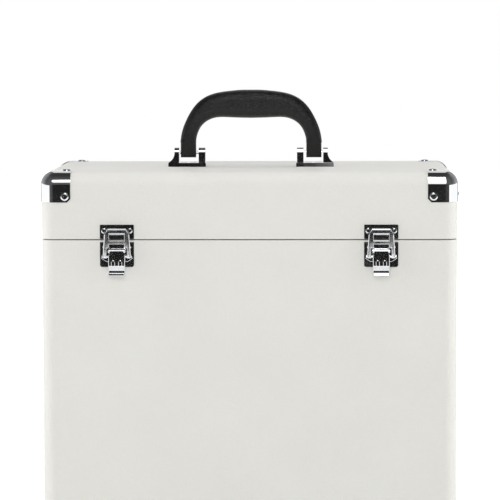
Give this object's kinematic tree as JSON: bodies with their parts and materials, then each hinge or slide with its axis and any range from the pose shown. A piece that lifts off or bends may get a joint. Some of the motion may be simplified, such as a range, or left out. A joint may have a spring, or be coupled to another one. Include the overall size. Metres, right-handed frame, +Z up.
{
  "type": "record carrying case",
  "caption": "Upright carrying case for records: covered wooden box with a hinged lid, draw latches, metal corners and a folding handle.",
  "frame": {"origin": "centre of the case's footprint, on the floor that the feet stand on", "axes": "+Z up, +Y from the latches at the front to the hinges at the back, +X to the right seen from the front"},
  "size_m": [0.3638, 0.2037, 0.4228],
  "materials": {
    "wood_board": "raw plywood",
    "leatherette": "pale grey, fine low grain",
    "lining": "black flocked paper",
    "tongue_board": "black painted strip",
    "chrome": "bright plated",
    "hinge_steel": "bright plated",
    "grip_plastic": "black, leather-grained",
    "core_steel": "plain strap",
    "screw_steel": "zinc plated",
    "foot_rubber": "black, matt"
  },
  "bodies": {
    "case": {"body_board_front": "wood_board", "body_board_back": "wood_board", "body_board_left": "wood_board", "body_board_right": "wood_board", "body_board_bottom": "wood_board", "body_cover": "leatherette", "body_lining": "lining", "rim_tongue": "tongue_board", "body_corner_front_left": "chrome", "body_corner_front_right": "chrome", "body_corner_back_left": "chrome", "body_corner_back_right": "chrome", "body_corner_rivets": "chrome", "hinge_lower_leaf_left": "hinge_steel", "hinge_lower_leaf_right": "hinge_steel", "hinge_pin_left": "hinge_steel", "hinge_pin_right": "hinge_steel", "hinge_screws_body": "hinge_steel", "latch_base_left": "chrome", "latch_base_right": "chrome", "latch_lever_pin_left": "chrome", "latch_lever_pin_right": "chrome", "latch_rivets_body": "chrome", "foot_front_left": "foot_rubber", "foot_front_right": "foot_rubber", "foot_back_left": "foot_rubber", "foot_back_right": "foot_rubber", "foot_screws": "screw_steel"},
    "lid": {"lid_board_front": "wood_board", "lid_board_back": "wood_board", "lid_board_left": "wood_board", "lid_board_right": "wood_board", "lid_board_top": "wood_board", "lid_cover": "leatherette", "lid_lining": "lining", "lid_corner_front_left": "chrome", "lid_corner_front_right": "chrome", "lid_corner_back_left": "chrome", "lid_corner_back_right": "chrome", "lid_corner_rivets": "chrome", "hinge_upper_leaf_left": "hinge_steel", "hinge_upper_leaf_right": "hinge_steel", "hinge_screws_lid": "hinge_steel", "latch_catch_left": "chrome", "latch_catch_right": "chrome", "latch_rivets_lid": "chrome", "handle_bracket_left": "chrome", "handle_bracket_right": "chrome", "handle_pin_left": "chrome", "handle_pin_right": "chrome", "handle_rivets": "chrome"},
    "handle": {"handle_grip": "grip_plastic", "handle_core": "core_steel"},
    "lever_left": {"latch_lever_left": "chrome", "latch_claw_pin_left": "chrome"},
    "claw_left": {"latch_claw_left": "chrome"},
    "lever_right": {"latch_lever_right": "chrome", "latch_claw_pin_right": "chrome"},
    "claw_right": {"latch_claw_right": "chrome"}
  },
  "joints": [
    {"name": "lid_hinge", "type": "hinge", "parent": "case", "child": "lid", "pos_m": [0, 0.0982, 0.296], "axis": [-1, 0, 0], "range_deg": [0, 175]},
    {"name": "handle_fold", "type": "hinge", "parent": "lid", "child": "handle", "pos_m": [0, 0, 0.3666], "axis": [1, 0, 0], "range_deg": [-86, 86]},
    {"name": "lever_left_turn", "type": "hinge", "parent": "case", "child": "lever_left", "pos_m": [-0.114, -0.1002, 0.2865], "axis": [-1, 0, 0], "range_deg": [0, 110]},
    {"name": "claw_left_turn", "type": "hinge", "parent": "lever_left", "child": "claw_left", "pos_m": [-0.114, -0.0982, 0.2815], "axis": [-1, 0, 0], "range_deg": [-139, 0]},
    {"name": "lever_right_turn", "type": "hinge", "parent": "case", "child": "lever_right", "pos_m": [0.114, -0.1002, 0.2865], "axis": [-1, 0, 0], "range_deg": [0, 110]},
    {"name": "claw_right_turn", "type": "hinge", "parent": "lever_right", "child": "claw_right", "pos_m": [0.114, -0.0982, 0.2815], "axis": [-1, 0, 0], "range_deg": [-139, 0]}
  ],
  "couplings": [
    {"joint": "claw_left_turn", "follows": "lever_left_turn", "ratio": -1.2545},
    {"joint": "claw_right_turn", "follows": "lever_right_turn", "ratio": -1.2545}
  ]
}
